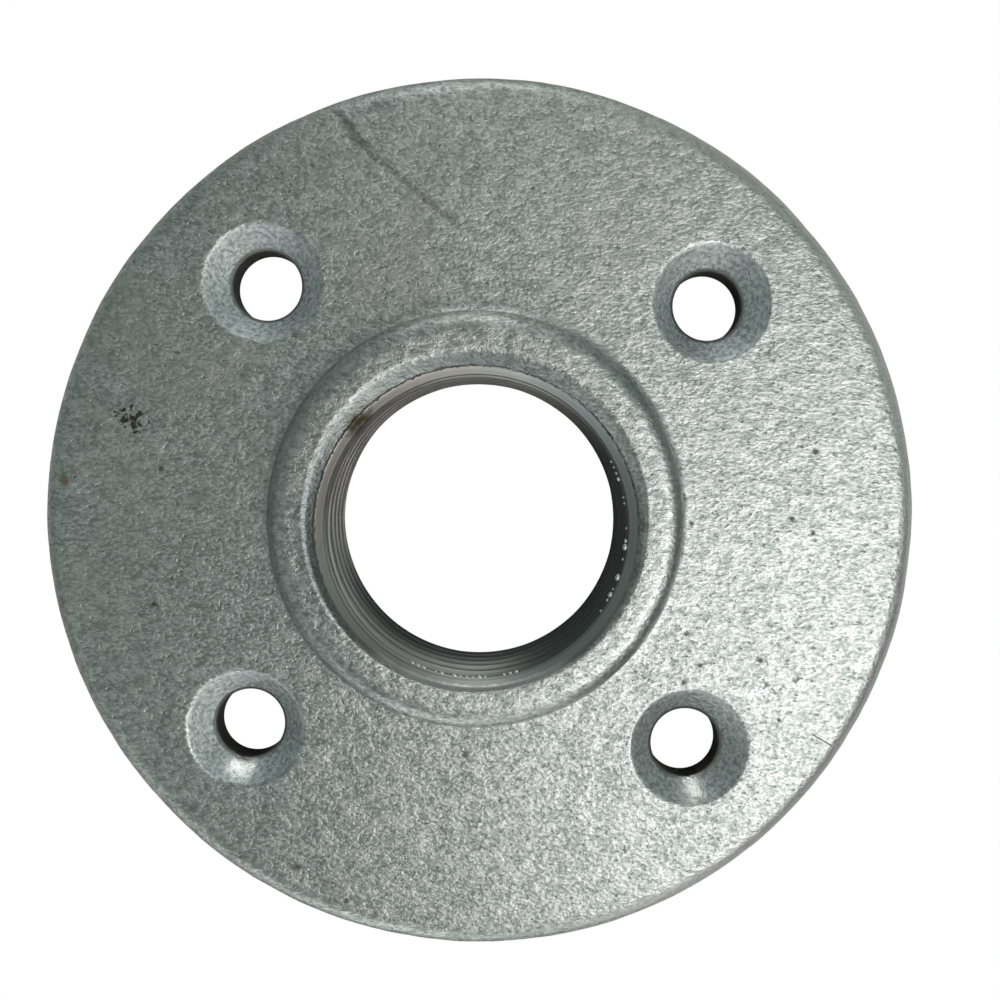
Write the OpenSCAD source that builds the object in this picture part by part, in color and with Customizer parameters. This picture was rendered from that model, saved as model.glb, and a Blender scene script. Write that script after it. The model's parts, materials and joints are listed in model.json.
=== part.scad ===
// Floor flange for one-inch pipe: one galvanised malleable-iron casting.
// The back of the disc lies on Z = 0 and the pipe leaves along +Z.
// The bore is drawn at the crests of the pipe thread.

/* [Disc] */
// Diameter of the disc at its back face
disc_d = 96; // [88:0.5:120]
// Thickness of the disc
disc_t = 5.3; // [4.5:0.1:8]
// Draft of the rim, in degrees
rim_draft = 3; // [0:0.5:6]
// Radius of the rim's front edge
rim_round = 2.7; // [0.5:0.1:3.2]
// Radius of the rim's back edge
back_round = 0.6; // [0.2:0.1:1]

/* [Hub] */
// Height from the back face to the top of the lip
flange_h = 14; // [12:0.5:24]
// Wall of the hub at the lip, from the thread's crests to the outside
hub_wall = 5.85; // [5.5:0.05:8]
// Draft of the hub's outside, in degrees
hub_draft = 3.5; // [0:0.5:6]
// Radius of the fillet between the disc and the hub
base_fillet = 1.7; // [0.5:0.1:3]
// Radius of the lip's outer edge
lip_outer_round = 2.2; // [0.5:0.1:2.4]
// Radius of the lip's inner edge, where it turns into the chamfer
lip_inner_round = 1; // [0.4:0.1:1.6]

/* [Pipe thread] */
// Diameter at the thread's crests
thread_minor_d = 30.29; // [27:0.01:33]
// Radial width of the chamfer that leads the pipe in
mouth_chamfer = 2; // [1.2:0.05:2.3]
// Angle of that chamfer from the axis, in degrees
mouth_angle = 45; // [40:1:60]
// Width of the chamfer at the back of the bore
back_chamfer = 0.5; // [0.2:0.1:1.2]

/* [Screw holes] */
// Number of screw holes
hole_count = 4; // [3:1:6]
// Diameter of the circle through the holes' centres
hole_pcd = 68.8; // [66:0.2:74]
// Direction of the first hole from +X, in degrees
hole_start = 45; // [0:1:90]
// Diameter of a screw hole
hole_d = 7.6; // [5:0.1:9]
// Diameter of the countersink at the disc's front face
countersink_d = 12.7; // [10:0.1:15]
// Angle of the countersink across its cone, in degrees
countersink_angle = 90; // [82:1:120]

/* [Hidden] */
$fn = 128;

// How far each cut runs past the face that it opens
over = 1;

disc_r = disc_d / 2;
bore_r = thread_minor_d / 2;
hub_r = bore_r + hub_wall;
mouth_r = bore_r + mouth_chamfer;
crest_z = flange_h - mouth_chamfer / tan(mouth_angle);

// Corners of the half section, before any edge is rounded
back_corner = [disc_r, 0];
rim_corner = [disc_r - disc_t * tan(rim_draft), disc_t];
base_corner = [hub_r + (flange_h - disc_t) * tan(hub_draft), disc_t];
lip_outer_corner = [hub_r, flange_h];
lip_inner_corner = [mouth_r, flange_h];

// Half angle of the countersink, and the depth at which it meets the hole
sink_half = countersink_angle / 2;
sink_depth = (countersink_d - hole_d) / 2 / tan(sink_half);

function heading(angle) = [cos(angle), sin(angle)];

// The area between a corner and the arc of radius r that rounds it.
// The corner's two edges leave it along the angles a and b, and the area runs past both.
module corner_area(corner, a, b, r) {
    half = abs(b - a) / 2;
    reach = r / tan(half);
    depth = r / sin(half) * heading((a + b) / 2);
    translate(corner + depth)
        difference() {
            scale((r + over) / r)
                polygon([-depth, reach * heading(a) - depth, [0, 0], reach * heading(b) - depth]);
            circle(r);
        }
}

// Half section of the casting with sharp edges, with +X as the radius and +Y as the height
module sharp_section() {
    polygon([
        [bore_r + back_chamfer, 0],
        back_corner,
        rim_corner,
        base_corner,
        lip_outer_corner,
        lip_inner_corner,
        [bore_r, crest_z],
        [bore_r, back_chamfer]
    ]);
}

// Half section of the casting, with its edges rounded and the hub blended into the disc
module section() {
    difference() {
        union() {
            sharp_section();
            corner_area(base_corner, 0, 90 + hub_draft, base_fillet);
        }
        corner_area(back_corner, 90 + rim_draft, 180, back_round);
        corner_area(rim_corner, 180, 270 + rim_draft, rim_round);
        corner_area(lip_outer_corner, 180, 270 + hub_draft, lip_outer_round);
        corner_area(lip_inner_corner, 270 - mouth_angle, 360, lip_inner_round);
    }
}

// One screw hole on the Z axis, with its countersink at the disc's front face
module screw_hole() {
    translate([0, 0, -over]) cylinder(d = hole_d, h = disc_t + 2 * over);
    translate([0, 0, disc_t - sink_depth])
        cylinder(
            d1 = hole_d,
            d2 = countersink_d + 2 * over * tan(sink_half),
            h = sink_depth + over
        );
}

module floor_flange() {
    color("lightslategray")
        difference() {
            rotate_extrude() section();
            for (i = [0 : hole_count - 1])
                rotate(hole_start + i * 360 / hole_count)
                    translate([hole_pcd / 2, 0, 0])
                        screw_hole();
        }
}

floor_flange();
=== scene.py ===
import json
import math
from types import SimpleNamespace

import bpy
from mathutils import Matrix, Vector


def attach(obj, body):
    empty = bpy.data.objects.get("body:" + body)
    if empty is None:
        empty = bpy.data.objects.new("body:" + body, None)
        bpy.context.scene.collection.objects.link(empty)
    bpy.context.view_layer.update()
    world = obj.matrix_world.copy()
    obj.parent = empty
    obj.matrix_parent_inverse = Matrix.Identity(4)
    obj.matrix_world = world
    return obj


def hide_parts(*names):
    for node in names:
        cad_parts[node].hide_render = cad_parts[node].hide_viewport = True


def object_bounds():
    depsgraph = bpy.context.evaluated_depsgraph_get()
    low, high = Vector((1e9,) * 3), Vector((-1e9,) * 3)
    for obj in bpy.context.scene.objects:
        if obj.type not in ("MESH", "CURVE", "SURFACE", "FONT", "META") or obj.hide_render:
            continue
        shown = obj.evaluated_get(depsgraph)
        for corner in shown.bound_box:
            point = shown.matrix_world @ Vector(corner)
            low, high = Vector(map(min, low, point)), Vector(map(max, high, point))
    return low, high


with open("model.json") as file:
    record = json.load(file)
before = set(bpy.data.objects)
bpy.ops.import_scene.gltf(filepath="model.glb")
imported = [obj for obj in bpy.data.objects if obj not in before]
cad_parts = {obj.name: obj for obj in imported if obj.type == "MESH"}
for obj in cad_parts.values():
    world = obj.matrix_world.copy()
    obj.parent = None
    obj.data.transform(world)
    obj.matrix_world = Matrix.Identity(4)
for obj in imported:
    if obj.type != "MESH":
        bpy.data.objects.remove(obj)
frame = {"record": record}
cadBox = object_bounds()
scene = bpy.context.scene
mm = 0.001
mounts = {mount["name"]: mount["dims"] for mount in frame["record"]["mounts"]}
print("frame loaded, CAD box", [round(v / mm, 1) for v in cadBox[1] - cadBox[0]], "mm")


# Wires: node sockets that take part in plain arithmetic

class Wire:
    def __init__(self, tree, socket):
        self.tree = tree
        self.socket = socket

    def __add__(self, other):
        return calc(self.tree, "ADD", self, other)

    def __radd__(self, other):
        return calc(self.tree, "ADD", other, self)

    def __sub__(self, other):
        return calc(self.tree, "SUBTRACT", self, other)

    def __rsub__(self, other):
        return calc(self.tree, "SUBTRACT", other, self)

    def __mul__(self, other):
        return calc(self.tree, "MULTIPLY", self, other)

    def __rmul__(self, other):
        return calc(self.tree, "MULTIPLY", other, self)

    def __truediv__(self, other):
        return calc(self.tree, "DIVIDE", self, other)


def plug(tree, value, socket):
    if isinstance(value, Wire):
        tree.links.new(value.socket, socket)
    else:
        socket.default_value = value


def addNode(tree, kind, inputs=None, **settings):
    node = tree.nodes.new(kind)
    for name, value in settings.items():
        setattr(node, name, value)
    for key, value in (inputs or {}).items():
        plug(tree, value, node.inputs[key])
    return node


def wireFrom(tree, kind, inputs=None, output=0, **settings):
    return Wire(tree, addNode(tree, kind, inputs, **settings).outputs[output])


def calc(tree, operation, *values):
    return wireFrom(tree, "ShaderNodeMath", dict(enumerate(values)), operation=operation)


def ramp(value, low, high, start=0.0, end=1.0, kind="LINEAR"):
    # start below low, end above high, and a straight or smooth climb between
    return wireFrom(
        value.tree,
        "ShaderNodeMapRange",
        {"Value": value, "From Min": low, "From Max": high, "To Min": start, "To Max": end},
        interpolation_type=kind,
    )


def smooth(value, low, high, start=0.0, end=1.0):
    return ramp(value, low, high, start, end, kind="SMOOTHSTEP")


def joinXyz(tree, x, y, z):
    return wireFrom(tree, "ShaderNodeCombineXYZ", {"X": x, "Y": y, "Z": z})


def splitXyz(vector):
    node = addNode(vector.tree, "ShaderNodeSeparateXYZ", {0: vector})
    return [Wire(vector.tree, output) for output in node.outputs]


def noise(vector, scale, detail=2.0, roughness=0.5, output=0):
    return wireFrom(
        vector.tree,
        "ShaderNodeTexNoise",
        {"Vector": vector, "Scale": scale, "Detail": detail, "Roughness": roughness},
        output=output,
    )


def length2d(x, y):
    return calc(x.tree, "SQRT", x * x + y * y)


# The casting: sizes in metres, as in the CAD part where no note says otherwise
discThickness = 5.3 * mm
hubRise = cadBox[1].z - discThickness
casting = {
    "Disc Radius": cadBox[1].x,
    "Disc Thickness": discThickness,
    "Rim Inset": discThickness * math.tan(math.radians(3)),  # draft of the rim
    "Rim Round": 2.4 * mm,  # 0.3 less than in the CAD, as this casting came out
    "Back Round": 0.6 * mm,
    "Height": cadBox[1].z,
    "Hub Wall": 6.0 * mm,  # 0.15 more than in the CAD
    "Hub Spread": hubRise * math.tan(math.radians(3.5)),  # draft of the hub
    "Base Fillet": 1.7 * mm,
    "Lip Outer Round": 2.2 * mm,
    "Lip Inner Round": 1.0 * mm,
    "Bore Radius": mounts["pipe_thread"]["r_mm"] * mm,
    "Mouth Chamfer": 2.0 * mm,
    "Back Chamfer": 0.5 * mm,
    "Tool Edge": 0.12 * mm,  # rounding where two cuts meet
    "Thread Pitch": 2.309 * mm,
    "Thread Depth": 1.479 * mm,
    "Thread Start": 0.43,  # part of a turn
    "Hole Circle": mounts["screw_holes"]["pcd_mm"] / 2 * mm,
    "Hole Radius": mounts["screw_holes"]["hole_r_mm"] * mm,
    "Sink Radius": 6.35 * mm,
    "Sink Edge": 0.35 * mm,  # how far the countersink's edge is rounded
    "Bore Shift X": 0.15 * mm,  # the tap ran a little off the casting's centre
    "Bore Shift Y": -0.5 * mm,
    "Mouth Shift X": 0.14 * mm,  # and its chamfer a little more
    "Mouth Shift Y": -0.84 * mm,
    "Rim Shift X": 0.25 * mm,  # the mould's halves were a little out of line
    "Rim Shift Y": 0.07 * mm,
    "Rim Wobble": 0.35 * mm,
    "Wobble Scale": 55.0,  # noise for a metre, as the next two scales
    "Warp": 0.25 * mm,
    "Warp Scale": 45.0,
    "Skin Depth": 0.16 * mm,
    "Skin Scale": 420.0,
    "Bead Height": 0.3 * mm,  # a run of zinc that set in one countersink
    "Bead Width": 2.2 * mm,
    "Bead X": -25.0 * mm,
    "Bead Y": -28.8 * mm,
    "Burr Size": 0.2 * mm,  # beads that the tap pushed up along the chamfer
    "Burr Out": 0.1 * mm,  # out from the thread's crests
    "Burr Up": 0.05 * mm,  # up from the top of the thread
    "Right Burrs": 0.7,  # share of the places that hold a bead, right of the bore
    "Near Burrs": 0.6,  # and on its near side
    "Seed": 7.0,
}
meshCounts = {
    "arc": 64,  # round one sector of the disc
    "side": 14,
    "plate": 36,  # from a sector's edge down through its hole to the back
    "cone": 18,
    "wall": 6,
    "back": 10,
    "edge": 9,  # round a rounded edge
    "pitch": 12,  # along one pitch of the thread
    "burrs": 150,  # places for a burr
}
meshLengths = {
    "seamIn": 1.0 * mm,  # from the hub's fillet out to the seam
    "seamOut": 0.8 * mm,  # from the rim's rounding in to the seam
    "short": 0.1 * mm,  # steps along the section
    "middle": 0.5 * mm,
    "long": 0.9 * mm,
    "merge": 0.002 * mm,
}
seamBend = 0.9  # at 1 the seam's lines would be straight
fades = {  # where a cut or a flaw starts and ends
    "front": (0.1 * mm, 0.8 * mm),  # up from the back
    "threadStart": (0.0, 1.2 * mm),
    "bead": (2.8 * mm, 3.4 * mm),
    "mouth": (9 * mm, 12.3 * mm),
    "threadEnd": (-0.4 * mm, 0.5 * mm),  # up from the top of the thread
    "bore": (1.5 * mm, 2 * mm),  # out from the thread's crests
    "lip": (-0.3 * mm, 0.5 * mm),  # out from the chamfer's edge
    "lipEdge": (16.2 * mm, 17.2 * mm),  # out from the axis
    "rim": (41.5 * mm, 46 * mm),
    "burrRight": (12 * mm, 13.5 * mm),  # along X
    "burrFar": (6.5 * mm, 8.5 * mm),  # along Y
    "burrNear": (-14.4 * mm, -13.4 * mm),
}
holeCount = mounts["screw_holes"]["count"]


def sectionCurve(tree, corners):
    # corners are (radius, height, rounding, step to the next), joined by lines and arcs
    index = wireFrom(tree, "GeometryNodeInputIndex")
    places = addNode(tree, "GeometryNodeIndexSwitch", {0: index}, data_type="VECTOR")
    rounds = addNode(tree, "GeometryNodeIndexSwitch", {0: index}, data_type="FLOAT")
    steps = addNode(tree, "GeometryNodeIndexSwitch", {0: index}, data_type="FLOAT")
    for count, (radius, height, rounding, step) in enumerate(corners):
        if count > 1:
            places.index_switch_items.new()
            rounds.index_switch_items.new()
            steps.index_switch_items.new()
        plug(tree, joinXyz(tree, radius, 0.0, height), places.inputs[count + 1])
        plug(tree, rounding, rounds.inputs[count + 1])
        plug(tree, step, steps.inputs[count + 1])
    line = wireFrom(tree, "GeometryNodeMeshLine", {"Count": len(corners)})
    line = marked(tree, line, "step", Wire(tree, steps.outputs[0]))
    line = placed(tree, line, Wire(tree, places.outputs[0]))
    curve = wireFrom(tree, "GeometryNodeMeshToCurve", {0: line})
    curve = wireFrom(
        tree,
        "GeometryNodeFilletCurve",
        {
            "Curve": curve,
            "Count": meshCounts["edge"],
            "Radius": Wire(tree, rounds.outputs[0]),
            "Limit Radius": True,
        },
        mode="POLY",
    )
    here = wireFrom(tree, "GeometryNodeInputPosition")
    ahead = wireFrom(
        tree, "GeometryNodeFieldAtIndex", {"Value": here, "Index": index + 1}, data_type="FLOAT_VECTOR"
    )
    reach = wireFrom(tree, "ShaderNodeVectorMath", {0: here, 1: ahead}, "Value", operation="DISTANCE")
    cuts = calc(tree, "FLOOR", reach / attribute(tree, "step"))
    return wireFrom(tree, "GeometryNodeSubdivideCurve", {"Curve": curve, "Cuts": cuts})


def unitGrid(tree, columns, rows):
    # a grid whose points know their place as u and v from 0 to 1
    grid = wireFrom(
        tree,
        "GeometryNodeMeshGrid",
        {"Size X": 1.0, "Size Y": 1.0, "Vertices X": columns, "Vertices Y": rows},
    )
    x, y, _ = splitXyz(wireFrom(tree, "GeometryNodeInputPosition"))
    return grid, x + 0.5, y + 0.5


def placed(tree, geometry, position=None, offset=None):
    inputs = {0: geometry}
    if position is not None:
        inputs["Position"] = position
    if offset is not None:
        inputs["Offset"] = offset
    return wireFrom(tree, "GeometryNodeSetPosition", inputs)


def marked(tree, geometry, name, value):
    return wireFrom(
        tree,
        "GeometryNodeStoreNamedAttribute",
        {"Geometry": geometry, "Name": name, "Value": value},
        data_type="FLOAT",
        domain="POINT",
    )


def attribute(tree, name):
    return wireFrom(tree, "GeometryNodeInputNamedAttribute", {"Name": name}, data_type="FLOAT")


def seamRadius(seamIn, angle):
    # hub and plate meet on nearly straight lines, one in front of each hole
    return seamIn / calc(seamIn.tree, "COSINE", angle * seamBend)


def turnedSheet(tree, curve, flatR=None, seamIn=None):
    # the section curve swept once round the axis, and drawn out to the seam past flatR
    rows = wireFrom(
        tree, "GeometryNodeAttributeDomainSize", {0: curve}, "Point Count", component="CURVE"
    )
    grid, u, v = unitGrid(tree, holeCount * meshCounts["arc"] + 1, rows)
    row = calc(tree, "ROUND", v * (rows - 1))
    point = wireFrom(
        tree,
        "GeometryNodeSampleIndex",
        {"Geometry": curve, "Value": wireFrom(tree, "GeometryNodeInputPosition"), "Index": row},
        data_type="FLOAT_VECTOR",
    )
    radius, _, height = splitXyz(point)
    angle = u * math.tau
    acrossX, acrossY = calc(tree, "COSINE", angle), calc(tree, "SINE", angle)
    if seamIn is not None:
        sector = (calc(tree, "FRACT", u * holeCount) - 0.5) * math.tau / holeCount
        radius = radius + (seamRadius(seamIn, sector) - seamIn) * ramp(radius, flatR, seamIn)
    return placed(tree, grid, joinXyz(tree, radius * acrossX, radius * acrossY, height))


def holeSheet(tree, size, seamIn, seamOut):
    # one sector of the disc: front face, countersink, hole and back face in one sheet
    arc, side = meshCounts["arc"], meshCounts["side"]
    steps = [meshCounts[part] for part in ("plate", "cone", "wall", "back")]
    columns, rows = 2 * (arc + side), sum(steps)
    grid, u, v = unitGrid(tree, columns + 1, rows + 1)
    half = math.pi / holeCount
    column = u * columns
    angle = 2 * half * (ramp(column, 0, arc) - ramp(column, arc + side, 2 * arc + side)) - half
    inner = ramp(column, arc, arc + side) - ramp(column, 2 * arc + side, columns)
    edge = seamOut + (seamRadius(seamIn, angle) - seamOut) * inner
    edgeX = edge * calc(tree, "COSINE", angle) - size["Hole Circle"]
    edgeY = edge * calc(tree, "SINE", angle)
    reach = length2d(edgeX, edgeY)
    row = v * rows
    ends = [sum(steps[: count + 1]) for count in range(len(steps))]
    collar = size["Sink Radius"] + 2 * size["Sink Edge"]
    away = (
        reach
        + (collar - reach) * ramp(row, 0, ends[0])
        + (size["Hole Radius"] - collar) * ramp(row, ends[0], ends[1])
        + (reach - size["Hole Radius"]) * ramp(row, ends[2], ends[3])
    )
    sunk = calc(tree, "SMOOTH_MAX", size["Sink Radius"] - away, 0.0, size["Sink Edge"])
    front = ramp(row, ends[1], ends[2], 1.0, 0.0)
    height = (size["Disc Thickness"] - sunk) * front
    spot = joinXyz(tree, size["Hole Circle"] + away * edgeX / reach, away * edgeY / reach, height)
    sheet = marked(tree, grid, "cast", smooth(away, size["Sink Radius"], collar) * front)
    sheet = placed(tree, sheet, spot)
    points = wireFrom(tree, "GeometryNodePoints", {"Count": holeCount})
    index = wireFrom(tree, "GeometryNodeInputIndex")
    turn = joinXyz(tree, 0.0, 0.0, (index + 0.5) * 2 * half)
    copies = wireFrom(
        tree, "GeometryNodeInstanceOnPoints", {"Points": points, "Instance": sheet, "Rotation": turn}
    )
    return wireFrom(tree, "GeometryNodeRealizeInstances", {0: copies})


def fadeFrom(base, name):
    low, high = fades[name]
    return base + low, base + high


def cutThread(tree, sheet, size, crestZ):
    # a right-hand groove of rounded section, cut outwards from the bore
    x, y, z = splitXyz(wireFrom(tree, "GeometryNodeInputPosition"))
    radius = length2d(x, y)
    turns = z / size["Thread Pitch"] - calc(tree, "ARCTAN2", y, x) / math.tau + size["Thread Start"]
    groove = 0.5 - 0.5 * calc(tree, "COSINE", turns * math.tau)
    fade = ramp(z, *fades["threadStart"], 0.3, 1.0) * ramp(z, *fadeFrom(crestZ, "threadEnd"), 1.0, 0.0)
    threadRadius = size["Bore Radius"] + size["Thread Depth"] * groove * fade
    inside = ramp(radius, *fadeFrom(size["Bore Radius"], "bore"), 1.0, 0.0)
    grow = 1 + inside * (calc(tree, "MAXIMUM", threadRadius / radius, 1.0) - 1)
    return placed(tree, sheet, joinXyz(tree, x * grow, y * grow, z))


def zincBead(tree, body, size):
    # the bead lies on the near side of one countersink
    x, y, z = splitXyz(wireFrom(tree, "GeometryNodeInputPosition"))
    away = length2d(x - size["Bead X"], y - size["Bead Y"])
    near = smooth(away / size["Bead Width"], 0.2, 1.0, 1.0, 0.0)
    above = ramp(z, *fades["bead"])
    return placed(tree, body, offset=joinXyz(tree, 0.0, 0.0, near * above * size["Bead Height"]))


def burrBeads(tree, size, crestZ):
    # a broken row of beads, on the right and near sides of the bore
    ring = wireFrom(
        tree,
        "GeometryNodeMeshCircle",
        {"Vertices": meshCounts["burrs"], "Radius": size["Bore Radius"] + size["Burr Out"]},
    )
    x, y, _ = splitXyz(wireFrom(tree, "GeometryNodeInputPosition"))
    ring = placed(tree, ring, offset=joinXyz(tree, 0.0, 0.0, crestZ + size["Burr Up"]))
    index = wireFrom(tree, "GeometryNodeInputIndex")
    chance, grow = (
        wireFrom(tree, "FunctionNodeRandomValue", {"ID": index, "Seed": seed}, output=1)
        for seed in (3, 4)
    )
    right = smooth(x, *fades["burrRight"]) * smooth(y, *fades["burrFar"], 1.0, 0.0)
    near = smooth(y, *fades["burrNear"], 1.0, 0.0)
    share = calc(tree, "MAXIMUM", right * size["Right Burrs"], near * size["Near Burrs"])
    reach = size["Burr Size"] * ramp(grow * grow, 0.0, 1.0, 0.5, 1.5)  # mostly small ones
    ball = wireFrom(tree, "GeometryNodeMeshIcoSphere", {"Radius": 1.0, "Subdivisions": 2})
    beads = wireFrom(
        tree,
        "GeometryNodeInstanceOnPoints",
        {
            "Points": ring,
            "Selection": calc(tree, "LESS_THAN", chance, share),
            "Instance": ball,
            "Rotation": joinXyz(tree, 0.0, 0.0, calc(tree, "ARCTAN2", y, x)),
            "Scale": joinXyz(tree, reach * 0.9, reach * 1.4, reach * 0.9),
        },
    )
    return marked(tree, wireFrom(tree, "GeometryNodeRealizeInstances", {0: beads}), "burr", 1.0)


def castFlaws(tree, body, size):
    # the tap, the mould and the sand each leave the casting a little out of true
    position = wireFrom(tree, "GeometryNodeInputPosition")
    x, y, z = splitXyz(position)
    radius = length2d(x, y)
    atBore = ramp(radius, *fades["lipEdge"], 1.0, 0.0)
    atMouth = ramp(z, *fades["mouth"])
    atRim = smooth(radius, *fades["rim"])
    shift = joinXyz(tree, size["Seed"], 0.0, 0.0)
    seeded = wireFrom(tree, "ShaderNodeVectorMath", {0: position, 1: shift}, operation="ADD")
    wobble = noise(seeded, size["Wobble Scale"], 3.0, 0.6) - 0.5
    wobble = wobble * size["Rim Wobble"] * atRim / radius
    boreX = size["Bore Shift X"] + (size["Mouth Shift X"] - size["Bore Shift X"]) * atMouth
    boreY = size["Bore Shift Y"] + (size["Mouth Shift Y"] - size["Bore Shift Y"]) * atMouth
    shiftX = boreX * atBore + size["Rim Shift X"] * atRim + x * wobble
    shiftY = boreY * atBore + size["Rim Shift Y"] * atRim + y * wobble
    body = placed(tree, body, offset=joinXyz(tree, shiftX, shiftY, 0.0))
    cast = attribute(tree, "cast")
    warp = (noise(seeded, size["Warp Scale"], 1.0) - 0.5) * size["Warp"]
    skin = (noise(seeded, size["Skin Scale"], 2.0, 0.6) - 0.5) * size["Skin Depth"]
    normal = wireFrom(tree, "GeometryNodeInputNormal")
    lift = wireFrom(
        tree, "ShaderNodeVectorMath", {0: normal, "Scale": (warp + skin) * cast}, operation="SCALE"
    )
    return zincBead(tree, placed(tree, body, offset=lift), size)


def flangeTree(material):
    tree = bpy.data.node_groups.new("FlangeCasting", "GeometryNodeTree")
    tree.interface.new_socket("Geometry", in_out="OUTPUT", socket_type="NodeSocketGeometry")
    for name in casting:
        tree.interface.new_socket(name, in_out="INPUT", socket_type="NodeSocketFloat")
    entry = addNode(tree, "NodeGroupInput")
    size = {name: Wire(tree, entry.outputs[name]) for name in casting}
    discT, discR, height, bore = (
        size[name] for name in ("Disc Thickness", "Disc Radius", "Height", "Bore Radius")
    )
    hubR = bore + size["Hub Wall"]
    baseR = hubR + size["Hub Spread"]
    mouthR = bore + size["Mouth Chamfer"]
    crestZ = height - size["Mouth Chamfer"]
    rimR = discR - size["Rim Inset"]
    flatR = baseR + size["Base Fillet"]
    seamIn = flatR + meshLengths["seamIn"]
    seamOut = rimR - size["Rim Round"] - meshLengths["seamOut"]
    short, middle, long = (meshLengths[name] for name in ("short", "middle", "long"))
    fine = size["Thread Pitch"] / meshCounts["pitch"]
    soft = size["Tool Edge"]
    hubCurve = sectionCurve(
        tree,
        [
            (seamIn, discT, 0.0, short),
            (baseR, discT, size["Base Fillet"], middle),
            (hubR, height, size["Lip Outer Round"], middle),
            (mouthR, height, size["Lip Inner Round"], fine),
            (bore, crestZ, soft, fine),
            (bore, size["Back Chamfer"], soft, fine),
            (bore + size["Back Chamfer"], 0.0, soft, long),
            (seamIn, 0.0, 0.0, long),
        ],
    )
    rimCurve = sectionCurve(
        tree,
        [
            (seamOut, 0.0, 0.0, long),
            (discR, 0.0, size["Back Round"], middle),
            (rimR, discT, size["Rim Round"], middle),
            (seamOut, discT, 0.0, middle),
        ],
    )
    x, y, z = splitXyz(wireFrom(tree, "GeometryNodeInputPosition"))
    onFront = ramp(z, *fades["front"])
    hub = turnedSheet(tree, hubCurve, flatR, seamIn)
    outside = smooth(length2d(x, y), *fadeFrom(mouthR, "lip"))
    hub = marked(tree, hub, "cast", outside * onFront)
    hub = cutThread(tree, hub, size, crestZ)
    rim = marked(tree, turnedSheet(tree, rimCurve), "cast", onFront)
    plate = holeSheet(tree, size, seamIn, seamOut)
    parts = addNode(tree, "GeometryNodeJoinGeometry")
    for part in (burrBeads(tree, size, crestZ), plate, rim, hub):
        tree.links.new(part.socket, parts.inputs[0])
    body = wireFrom(
        tree,
        "GeometryNodeMergeByDistance",
        {0: Wire(tree, parts.outputs[0]), "Distance": meshLengths["merge"]},
    )
    body = castFlaws(tree, body, size)
    body = wireFrom(tree, "GeometryNodeSetShadeSmooth", {0: body})
    body = wireFrom(tree, "GeometryNodeRealizeInstances", {0: body})
    body = wireFrom(tree, "GeometryNodeSetMaterial", {0: body, "Material": material})
    leave = addNode(tree, "NodeGroupOutput")
    tree.links.new(body.socket, leave.inputs[0])
    return tree


def makeFlange(material):
    tree = flangeTree(material)
    holder = bpy.data.objects.new("flangeHolder", bpy.data.meshes.new("flangeHolder"))
    scene.collection.objects.link(holder)
    modifier = holder.modifiers.new("FlangeCasting", "NODES")
    modifier.node_group = tree
    for socket in tree.interface.items_tree:
        if socket.in_out == "INPUT":
            modifier[socket.identifier] = casting[socket.name]
    graph = bpy.context.evaluated_depsgraph_get()
    mesh = bpy.data.meshes.new_from_object(holder.evaluated_get(graph))
    bpy.data.objects.remove(holder)
    flange = bpy.data.objects.new("flange_casting", mesh)
    scene.collection.objects.link(flange)
    mesh.calc_loop_triangles()
    print("casting made,", len(mesh.loop_triangles), "triangles")
    return flange


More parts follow.
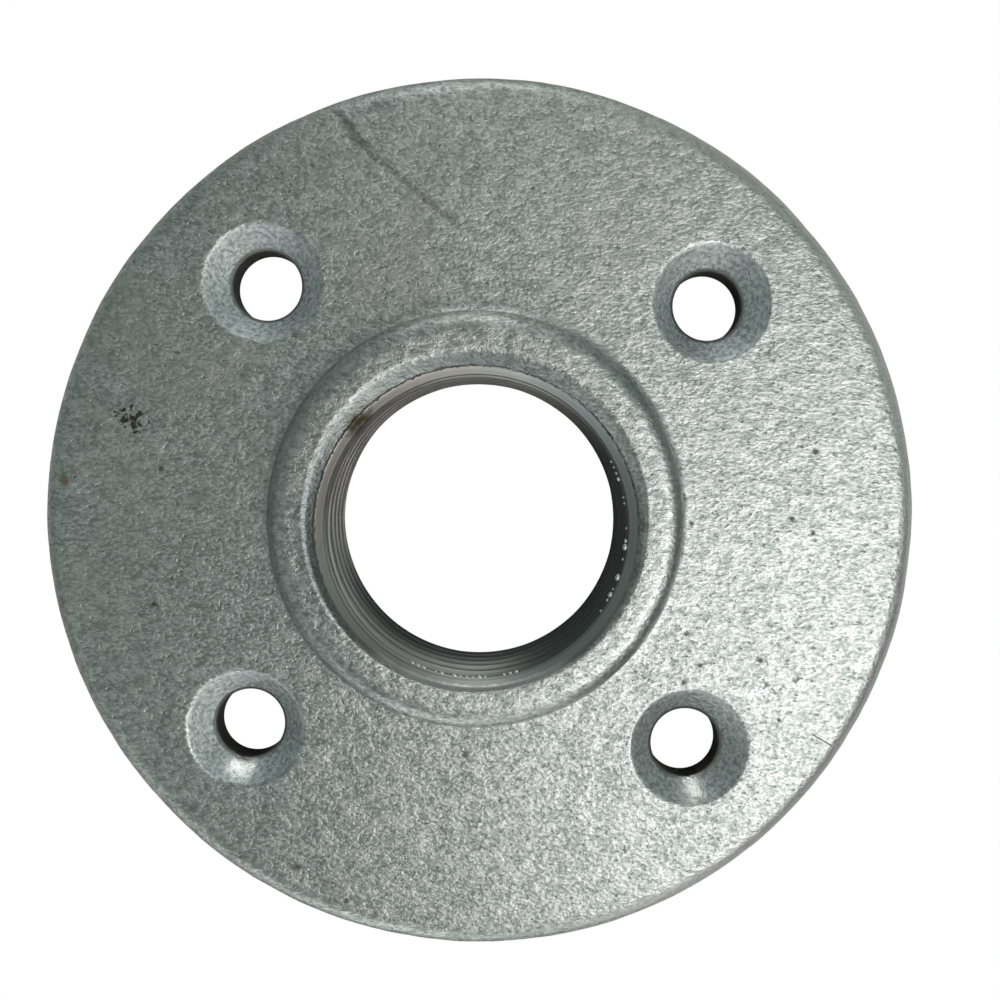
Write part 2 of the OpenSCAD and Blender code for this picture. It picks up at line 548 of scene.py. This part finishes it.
# The zinc: lengths in millimetres, colours linear
zinc = {
    "crestColour": (0.80, 0.83, 0.82, 1.0),
    "gapColour": (0.37, 0.41, 0.395, 1.0),
    "warmColour": (0.60, 0.60, 0.56, 1.0),
    "sinkLight": (0.95, 1.0, 1.0, 1.0),
    "sinkDark": (0.44, 0.51, 0.51, 1.0),
    "pitColour": (0.20, 0.22, 0.21, 1.0),
    # a painted highlight, on the right of the rim and in the lower countersinks
    "highlightColour": (0.97, 0.97, 0.95, 1.0),
    # painted shade, at the hub's foot and on the lip's inner slope
    "paintedShadeColour": (0.22, 0.25, 0.25, 1.0),
    "chamferWarm": (0.70, 0.67, 0.62, 1.0),
    "chamferCool": (0.54, 0.60, 0.60, 1.0),
    "boreColour": (0.46, 0.45, 0.425, 1.0),
    "boreShadeColour": (0.10, 0.115, 0.115, 1.0),
    "burrAndHighlightColour": (0.85, 0.88, 0.88, 1.0),
    "inkColour": (0.05, 0.055, 0.05, 1.0),
    "rustColour": (0.30, 0.22, 0.09, 1.0),
    "stainColour": (0.11, 0.095, 0.05, 1.0),
    "grainDepth": 0.10,
    "clusterDepth": 0.10,
    "pitDepth": 0.03,
    "swirlDepth": 0.10,
    "ringDepth": 0.03,
    "roughness": 0.32,
    "roughnessSpread": 0.16,
    "grainStretch": (0.82, 1.25, 1.0),  # below 1 draws the grain out
    "swirlSteps": (3, 9, 5),  # tool marks: for a millimetre out, a radian round, the next hole
    "ringSteps": 4,  # for a millimetre
    "footRing": (19.2, 20.8, 21.8, 23.0),  # painted shade at the hub's foot: start, full, fade, end
    "footSides": (6, 16),  # and how far to the left and right it starts
    "ridgeIn": 0.1,  # from the edge of the cut
    "cutRadius": casting["Bore Radius"] / mm + 1.25,  # how far out the chamfer's tool cut
    "crestHeight": (casting["Height"] - casting["Mouth Chamfer"]) / mm,
    "mouthShift": (casting["Mouth Shift X"] / mm, casting["Mouth Shift Y"] / mm),
    "rimShift": (casting["Rim Shift X"] / mm, casting["Rim Shift Y"] / mm),
    "hubRadius": (casting["Bore Radius"] + casting["Hub Wall"] + casting["Hub Spread"]) / mm,
    "rimStart": (casting["Disc Radius"] - casting["Rim Inset"] - casting["Rim Round"]) / mm,
    "holeOffset": casting["Hole Circle"] / mm * math.cos(math.radians(45)),
    "sinkRadius": casting["Sink Radius"] / mm,
    "holeRadius": casting["Hole Radius"] / mm,
    "pool": (-casting["Bead X"] / mm, casting["Bead Y"] / mm),  # a painted glint at the bottom of the lower countersinks, left and right
    "ink": (-37.7, 8.9, 1.9),  # a blot: x, y, reach
    "specks": [  # dark specks: x, y, radius
        (-34.5, 3.7, 0.5), (-34.8, -11.1, 0.6), (-18.0, -39.5, 0.55), (-14.0, -41.1, 0.35),
        (-12.4, -43.0, 0.35), (-0.1, -26.2, 0.5), (36.4, 8.7, 0.4), (34.2, 1.3, 0.35),
        (36.6, -0.2, 0.3), (23.8, -13.6, 0.35), (25.1, -15.2, 0.35), (23.4, -17.1, 0.4),
        (32.4, -17.0, 0.35), (31.5, -14.3, 0.4), (35.7, -16.3, 0.6), (34.0, -20.8, 0.35),
        (23.3, 0.3, 0.4), (23.4, -11.8, 0.4),
    ],
    "smears": [  # dark lines: from, to, half width, strength
        ((-16.7, 42.7), (-12.7, 38.0), 0.5, 0.55),
        ((-15.5, 40.4), (-3.3, 31.1), 0.4, 0.4),
        ((37.8, -22.2), (39.9, -23.3), 0.07, 1.0),
    ],
    "rust": (-45.0, 1.9, 1.4),
    "rustSqueeze": 1.6,  # how much narrower than high
    "stain": (-12.2, 9.4, 1.3),
    "stainLong": (0.31, 0.39),  # drawn out this way
    "stainNarrow": (-0.94, 0.74),  # and pressed together this way
    "spotCore": 0.2,  # how near its middle a spot is at its darkest
    "patterns": {  # noise: scale for a millimetre, detail, roughness
        "ragged": (1.3, 3.0, 0.6),
        "jagged": (2.2, 2.0, 0.6),
        "grain": (2.4, 3.0, 0.65),
        "cluster": (0.85, 2.0, 0.5),
        "pit": (1.8, 1.0, 0.5),
        "swirl": (1.0, 4.0, 0.7),
        "rings": (1.0, 2.0, 0.6),
        "ink": (1.3, 3.0, 0.65),
        "broken": (0.9, 3.0, 0.6),
        "warm": (0.10, 3.0, 0.6),
        "polish": (0.8, 3.0, 0.6),
    },
    "bands": {  # where a mask starts and ends
        "front": (0.3, 1.0),  # up from the back
        "rimHighlightZone": (1.5, 3.5),
        "deep": (3, 9),
        "bore": (-0.5, 0.1),  # up from the top of the thread
        "stain": (-0.9, 0.0),
        "hub": (-0.4, 0.6),  # out from the hub's foot
        "rim": (0.4, 1.4),  # out from the start of the rim's rounding
        "sink": (-0.3, 0.2),  # out from the countersink's edge
        "cone": (0.1, 0.4),  # out from the hole's wall
        "pool": (0.8, 2.1),  # out from a glint's middle
        "cut": (-0.15, 0.1),  # out from the edge of the cut
        "slope": (1.0, 1.7),
        "cutLine": (0.0, 0.15),  # to both sides of that edge
        "ridge": (0.1, 0.45),
        "speck": (0.2, 1.1),  # in speck radii
        "smear": (0.4, 1.2),  # in half widths
        "gritty": (0.36, 0.64),  # levels of a noise
        "pit": (0.64, 0.74),
        "swirl": (0.38, 0.6),
        "rings": (0.35, 0.65),
        "ink": (0.36, 0.46),
        "broken": (0.4, 0.56),
        "warm": (0.45, 0.7),
    },
    "sides": {  # masks that change across the casting: direction in X and Y, start, end
        "warm": ((-0.7, 1.0), 5, 35),
        "dull": ((-0.8, 1.0), 0, 40),
        "slope": ((-0.8, 0.6), 0, 12),
        "lowerRightSink": ((1.0, -1.0), 20, 40),
        "rimHighlightZone": ((1.0, 0.0), 5, 30),
        "coolChamfer": ((1.0, 0.0), -4, 10),
        "nearChamfer": ((0.0, 1.0), -13, 0),
        "nearBore": ((0.0, 1.0), -11, -3),
        "rightBore": ((0.95, -0.2), 2, 12),
        "farCut": ((0.0, 1.0), -8, 4),
        "nearRidge": ((0.0, 1.0), -15, -13),
    },
}


def mixColour(tree, factor, first, second):
    node = addNode(tree, "ShaderNodeMix", data_type="RGBA")
    plug(tree, factor, node.inputs["Factor"])
    plug(tree, first, node.inputs[6])
    plug(tree, second, node.inputs[7])
    return Wire(tree, node.outputs[2])


def awayFrom(x, y, spot):
    return length2d(x - spot[0], y - spot[1])


def alongWay(x, y, way):
    return x * way[0] + y * way[1]


def extreme(operation, values):
    found = values[0]
    for value in values[1:]:
        found = calc(found.tree, operation, found, value)
    return found


def largest(*values):
    return extreme("MAXIMUM", values)


def smallest(*values):
    return extreme("MINIMUM", values)


def pattern(vector, name):
    return noise(vector, *zinc["patterns"][name])


def band(value, name, start=0.0, end=1.0, base=0.0):
    low, high = zinc["bands"][name]
    return smooth(value, base + low, base + high, start, end)


def side(at, name, start=0.0, end=1.0, kind="SMOOTHSTEP"):
    way, low, high = zinc["sides"][name]
    return ramp(alongWay(at.x, at.y, way), low, high, start, end, kind)


def zincZones(tree, spot):
    # where things are: bore, countersinks, hub and rim
    x, y, z = splitXyz(spot)
    at = SimpleNamespace(x=x, y=y, z=z)
    at.ragged = pattern(spot, "ragged") - 0.5
    at.fromAxis = length2d(x, y)
    at.fromBore = awayFrom(x, y, zinc["mouthShift"])
    at.holeX = calc(tree, "ABSOLUTE", x) - zinc["holeOffset"]
    at.holeY = calc(tree, "ABSOLUTE", y) - zinc["holeOffset"]
    at.fromHole = length2d(at.holeX, at.holeY)
    at.front = band(z, "front")
    at.hub = band(at.fromAxis, "hub", 1.0, 0.0, base=zinc["hubRadius"])
    at.rim = band(awayFrom(x, y, zinc["rimShift"]), "rim", base=zinc["rimStart"])
    jagged = pattern(spot, "jagged") - 0.5
    at.cutEdge = at.fromBore + jagged * 0.5 - zinc["cutRadius"]
    at.cut = band(at.cutEdge, "cut", 1.0, 0.0)
    sunk = band(at.fromHole + at.ragged * 1.1, "sink", 1.0, 0.0, base=zinc["sinkRadius"])
    at.sunk = sunk * at.front
    at.cone = band(at.fromHole, "cone", base=zinc["holeRadius"])
    fromSinkGlint = awayFrom(calc(tree, "ABSOLUTE", x), y, zinc["pool"])
    at.pool = band(fromSinkGlint + at.ragged * 2, "pool", 1.0, 0.0) * at.sunk
    at.burr = wireFrom(tree, "ShaderNodeAttribute", output="Fac", attribute_name="burr")
    return at


def zincGrit(tree, spot, at):
    # sand-cast grain, clusters of it and open pits
    grit = SimpleNamespace()
    skin = (1 - at.cut) * (1 - 0.6 * at.sunk)
    grit.fine = skin * (1 - 0.2 * at.hub) * (1 - 0.3 * at.rim)
    grit.coarse = skin * (1 - 0.3 * at.rim)
    drawn = wireFrom(
        tree, "ShaderNodeVectorMath", {0: spot, 1: zinc["grainStretch"]}, operation="MULTIPLY"
    )
    grit.grain = pattern(drawn, "grain")
    grit.cluster = pattern(drawn, "cluster")
    grit.pit = band(pattern(drawn, "pit"), "pit") * grit.fine

    # tool marks round each countersink under the zinc, and fine rings on the chamfer
    perOut, perTurn, perHole = zinc["swirlSteps"]
    hole = calc(tree, "SIGN", at.x) * 3 + calc(tree, "SIGN", at.y)  # a number for each hole
    turn = calc(tree, "ARCTAN2", at.holeY, at.holeX)
    swept = joinXyz(tree, at.fromHole * perOut, turn * perTurn, hole * perHole)
    grit.swirl = pattern(swept, "swirl")
    ringed = joinXyz(tree, at.fromBore * zinc["ringSteps"], at.z * zinc["ringSteps"], 0.0)
    grit.rings = pattern(ringed, "rings")
    return grit


def speckMask(at):
    # nearest speck, in speck radii, with a ragged edge
    nearest = smallest(*[awayFrom(at.x, at.y, speck) / speck[2] for speck in zinc["specks"]])
    return band(nearest + at.ragged * 2.4, "speck", 0.8, 0.0)


def smearMask(at):
    # darkness along each smear, strongest of them all
    core, fringe = zinc["bands"]["smear"]
    smears = []
    for (startX, startY), (endX, endY), half, strength in zinc["smears"]:
        long = math.hypot(endX - startX, endY - startY)
        wayX, wayY = (endX - startX) / long, (endY - startY) / long
        offX, offY = at.x - startX, at.y - startY
        aside = calc(offX.tree, "ABSOLUTE", alongWay(offX, offY, (-wayY, wayX)))
        along = alongWay(offX, offY, (wayX, wayY))
        past = calc(offX.tree, "ABSOLUTE", along - long / 2) - long / 2
        off = largest(aside, past) + at.ragged * half
        smears.append(smooth(off, half * core, half * fringe, strength, 0.0))
    return largest(*smears)


def inkMask(spot, at):
    # a blot that breaks up towards its edge
    fromInk = awayFrom(at.x, at.y, zinc["ink"]) / zinc["ink"][2]
    return band(pattern(spot, "ink") - fromInk * 0.2, "ink")


def rustMask(at):
    atX, atY, reach = zinc["rust"]
    fromRust = length2d((at.x - atX) * zinc["rustSqueeze"], at.y - atY)
    return smooth(fromRust + at.ragged * 0.9, zinc["spotCore"], reach, 0.7, 0.0)


def stainMask(at):
    # drawn out along the chamfer, and not down into the thread
    atX, atY, reach = zinc["stain"]
    offX, offY = at.x - atX, at.y - atY
    along, across = (alongWay(offX, offY, zinc[way]) for way in ("stainLong", "stainNarrow"))
    stain = smooth(length2d(along, across) + at.ragged * 1.4, zinc["spotCore"], reach, 0.95, 0.0)
    return stain * band(at.z, "stain", base=zinc["crestHeight"])


def footShadeMask(at):
    # painted shade at the hub's foot, on the left and the right
    start, full, fade, end = zinc["footRing"]
    ring = smooth(at.fromAxis, start, full) * smooth(at.fromAxis, fade, end, 1.0, 0.0)
    return ring * ramp(calc(at.x.tree, "ABSOLUTE", at.x), *zinc["footSides"], 0.0, 0.55)


def slopeShadeMask(at):
    # painted shade on the lip's inner slope, on its far left side
    return band(at.fromBore, "slope", 0.75, 0.0, base=zinc["cutRadius"]) * side(at, "slope")


def ridgeHighlightMask(at):
    # a painted highlight along the near edge of the cut
    aside = calc(at.cutEdge.tree, "ABSOLUTE", at.cutEdge + zinc["ridgeIn"])
    return band(aside, "ridge", 1.0, 0.0) * side(at, "nearRidge", 1.0, 0.0)


def darkMarks(spot, at):
    # specks, smears and ink, and a broken line along the far edge of the cut
    marks = largest(speckMask(at), smearMask(at), inkMask(spot, at))
    line = band(calc(spot.tree, "ABSOLUTE", at.cutEdge), "cutLine", 1.0, 0.0)
    line = line * side(at, "farCut", 0.0, 0.85, "LINEAR") * band(pattern(spot, "broken"), "broken")
    return largest(marks * at.front, line)


def sinkColour(tree, at, grit):
    # tool marks on the cones, bright and dark, with painted glints in their bright streaks; the cone at
    # the lower right darker; and plain drilled walls
    tooled = mixColour(tree, band(grit.swirl, "swirl"), zinc["sinkDark"], zinc["sinkLight"])
    tooled = mixColour(tree, side(at, "lowerRightSink", 0.0, 0.2), tooled, zinc["pitColour"])
    return mixColour(tree, at.cone, zinc["boreColour"], tooled)


def bareColour(tree, at, grit):
    # cut metal: the chamfer, and the thread, with painted shade on the right and in the depth of the
    # near side
    chamfer = mixColour(tree, side(at, "coolChamfer"), zinc["chamferWarm"], zinc["chamferCool"])
    # the chamfer darker in its tool rings and towards the near side
    chamferDarkening = band(grit.rings, "rings", 0.4, 0.0) + side(at, "nearChamfer", 0.3, 0.0)
    chamfer = mixColour(tree, chamferDarkening, chamfer, zinc["pitColour"])
    deep = band(at.z, "deep", 0.85, 0.0) * side(at, "nearBore", 1.0, 0.0)
    # painted shade: deeper down on the near side, and on the right
    dark = largest(deep, side(at, "rightBore", 0.0, 0.9))
    wall = mixColour(tree, dark, zinc["boreColour"], zinc["boreShadeColour"])
    return mixColour(tree, band(at.z, "bore", 1.0, 0.0, base=zinc["crestHeight"]), chamfer, wall)


def zincColour(tree, spot, at, grit, blots):
    # the grain darker in its gaps: partly zinc oxide, partly painted shade in the hollows
    gritty = band(grit.grain * 0.7 + grit.cluster * 0.3, "gritty")
    warm = band(pattern(spot, "warm"), "warm") * side(at, "warm")
    # painted shade at the hub's foot and on the lip's inner slope
    paintedShade = largest(footShadeMask(at), slopeShadeMask(at)) * at.front
    # painted highlight on the rim, growing towards the right
    rimHighlight = at.rim * side(at, "rimHighlightZone") * band(at.z, "rimHighlightZone", 0.0, 0.85)
    layers = [  # how much of which colour, from the bottom up
        (warm * 0.5, zinc["warmColour"]),
        (paintedShade, zinc["paintedShadeColour"]),
        (rimHighlight, zinc["highlightColour"]),
        (at.sunk * 0.9, sinkColour(tree, at, grit)),
        # painted glint at the bottom of the lower countersinks
        (at.pool * 0.9, zinc["highlightColour"]),
        # real pits in the skin, with painted shade in them
        (grit.pit * 0.6, zinc["pitColour"]),
        (rustMask(at) * at.front, zinc["rustColour"]),
        (at.cut, bareColour(tree, at, grit)),
        (stainMask(at), zinc["stainColour"]),
        # burr beads, and the painted highlight along the near edge of the cut
        (largest(at.burr, ridgeHighlightMask(at)), zinc["burrAndHighlightColour"]),
        (blots * 0.95, zinc["inkColour"]),
    ]
    colour = mixColour(tree, gritty, zinc["gapColour"], zinc["crestColour"])
    for share, layer in layers:
        colour = mixColour(tree, share, colour, layer)
    return colour


def zincHeight(at, grit):
    return (
        grit.grain * grit.fine * zinc["grainDepth"]
        + grit.cluster * grit.coarse * zinc["clusterDepth"]
        - grit.pit * zinc["pitDepth"]
        + grit.swirl * zinc["swirlDepth"] * at.sunk * at.cone * (1 - 0.5 * at.pool)
        + grit.rings * zinc["ringDepth"] * at.cut
    )


def zincPolish(spot, at, blots):
    # dull at the upper left, in the cuts and on the marks, smoother in the painted glints at the bottom
    # of the lower countersinks
    polish = zinc["roughness"] + (pattern(spot, "polish") - 0.5) * zinc["roughnessSpread"]
    polish = polish + 0.08 * at.cut + 0.07 * side(at, "dull") + 0.12 * at.sunk - 0.22 * at.pool
    return polish + 0.2 * blots


def zincMaterial():
    material = bpy.data.materials.new("galvanised_zinc")
    material.use_nodes = True
    tree = material.node_tree
    tree.nodes.clear()
    place = wireFrom(tree, "ShaderNodeTexCoord", output="Object")
    spot = wireFrom(tree, "ShaderNodeVectorMath", {0: place, "Scale": 1 / mm}, operation="SCALE")
    at = zincZones(tree, spot)
    grit = zincGrit(tree, spot, at)
    blots = darkMarks(spot, at)
    height = zincHeight(at, grit)
    finish = {
        "Base Color": zincColour(tree, spot, at, grit, blots),
        "Metallic": 1.0,
        "Roughness": zincPolish(spot, at, blots),
        "Normal": wireFrom(tree, "ShaderNodeBump", {"Height": height, "Distance": mm, "Strength": 1.0}),
    }
    shader = wireFrom(tree, "ShaderNodeBsdfPrincipled", finish)
    leave = addNode(tree, "ShaderNodeOutputMaterial")
    tree.links.new(shader.socket, leave.inputs["Surface"])
    print("zinc mixed,", len(tree.nodes), "nodes")
    return material


flange = makeFlange(zincMaterial())
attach(flange, "root")
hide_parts("floor_flange")

# The view: straight down, a little to one side of the hub
view = {
    "focal": 0.96,  # picture widths
    "sensor": 36.0,  # millimetres, as Blender takes it
    "nearest": 5 * mm,  # nothing nearer is drawn
    "height": 109.6 * mm,
    "aside": (2.5 * mm, 4.85 * mm),  # right and up in the picture, from the hub's axis
    "tilt": math.radians(1.67),
    "roll": math.radians(2.6),
}


def makeCamera():
    data = bpy.data.cameras.new("camera")
    data.sensor_width = view["sensor"]
    data.lens = view["focal"] * data.sensor_width
    data.clip_start = view["nearest"]
    camera = bpy.data.objects.new("camera", data)
    scene.collection.objects.link(camera)
    roll = Matrix.Rotation(view["roll"], 4, "Z")
    place = roll @ Vector((*view["aside"], view["height"]))
    camera.matrix_world = Matrix.Translation(place) @ roll @ Matrix.Rotation(-view["tilt"], 4, "X")
    scene.camera = camera


# The studio: a white floor and soft lamps, turned as seen in the picture
studio = {
    "floorSize": 4.0,
    "floorDrop": 0.2 * mm,
    "floorShade": 0.58,  # how bright the floor is to the casting, not to the camera
    "shadowShade": 0.03,  # and the same under the disc
    "shadowBlur": 1 * mm,
    "surround": (1.0, 1.0, 1.0),
    "lampDistance": 0.6,
    "warm": (1.0, 0.97, 0.94),
    "plain": (0.96, 1.0, 0.98),
    "cool": (0.84, 1.0, 0.95),
    "lamps": [  # degrees from straight up, direction in the picture, width, watts, colour
        (34, 326, 0.25, 0.22, "warm"),
        (25, 0, 0.6, 0.44, "warm"),
        (25, 315, 0.6, 0.60, "plain"),
        (48, 300, 0.6, 0.36, "warm"),
        (48, 330, 0.6, 0.32, "warm"),
        (48, 60, 0.6, 0.19, "cool"),
        (48, 120, 0.6, 0.17, "cool"),
        (48, 180, 0.6, 0.12, "cool"),
        (48, 210, 0.6, 0.14, "cool"),
        (70, 210, 0.6, 0.11, "warm"),
        (70, 30, 0.6, 0.13, "cool"),
        (88, 150, 0.6, 0.20, "cool"),
        (88, 240, 0.6, 0.50, "plain"),
        (88, 270, 0.6, 0.74, "plain"),
        (88, 90, 0.6, 0.40, "plain"),
        (72, 91, 0.2, 0.15, "plain"),
        (52, 91, 0.3, 0.08, "plain"),
        (62, 10, 0.5, 0.10, "cool"),
    ],
}


def makeFloor():
    half = studio["floorSize"] / 2
    drop = -studio["floorDrop"]
    mesh = bpy.data.meshes.new("floor")
    corners = [(-half, -half, drop), (half, -half, drop), (half, half, drop), (-half, half, drop)]
    mesh.from_pydata(corners, [], [(0, 1, 2, 3)])
    floor = bpy.data.objects.new("floor", mesh)
    scene.collection.objects.link(floor)
    material = bpy.data.materials.new("floor_paper")
    material.use_nodes = True
    tree = material.node_tree
    tree.nodes.clear()
    x, y, _ = splitXyz(wireFrom(tree, "ShaderNodeTexCoord", output="Object"))
    away = length2d(x, y)
    bore, edge, blur = casting["Bore Radius"], casting["Disc Radius"], studio["shadowBlur"]
    under = smooth(away, bore - blur, bore + 2 * blur)
    under = under * smooth(away, edge - blur, edge + blur, 1.0, 0.0)
    shade = ramp(under, 0.0, 1.0, studio["floorShade"], studio["shadowShade"])
    paper = wireFrom(tree, "ShaderNodeBsdfDiffuse", {"Color": shade})
    glow = wireFrom(tree, "ShaderNodeEmission", {"Color": (1.0, 1.0, 1.0, 1.0), "Strength": 1.0})
    seen = wireFrom(tree, "ShaderNodeLightPath", output="Is Camera Ray")
    both = wireFrom(tree, "ShaderNodeMixShader", {0: seen, 1: paper, 2: glow})
    leave = addNode(tree, "ShaderNodeOutputMaterial")
    tree.links.new(both.socket, leave.inputs["Surface"])
    mesh.materials.append(material)


def makeLight():
    roll = Matrix.Rotation(view["roll"], 4, "Z")
    for count, (tilt, turn, width, power, colour) in enumerate(studio["lamps"]):
        data = bpy.data.lights.new(f"lamp_{count}", "AREA")
        data.shape = "DISK"
        data.size = width
        data.energy = power
        data.color = studio[colour]
        lamp = bpy.data.objects.new(f"lamp_{count}", data)
        scene.collection.objects.link(lamp)
        turned = roll @ Matrix.Rotation(math.radians(turn), 4, "Z")
        facing = turned @ Matrix.Rotation(math.radians(tilt), 4, "Y")
        lamp.matrix_world = facing @ Matrix.Translation((0, 0, studio["lampDistance"]))
    world = bpy.data.worlds.new("surround")
    world.use_nodes = True
    tree = world.node_tree
    backdrop = tree.nodes["Background"]
    backdrop.inputs["Color"].default_value = (*studio["surround"], 1.0)
    seen = wireFrom(tree, "ShaderNodeLightPath", output="Is Camera Ray")
    plug(tree, seen, backdrop.inputs["Strength"])  # the lamps alone light the casting
    scene.world = world
    scene.view_settings.view_transform = "Standard"


makeCamera()
makeFloor()
makeLight()
print("camera, floor and light placed")
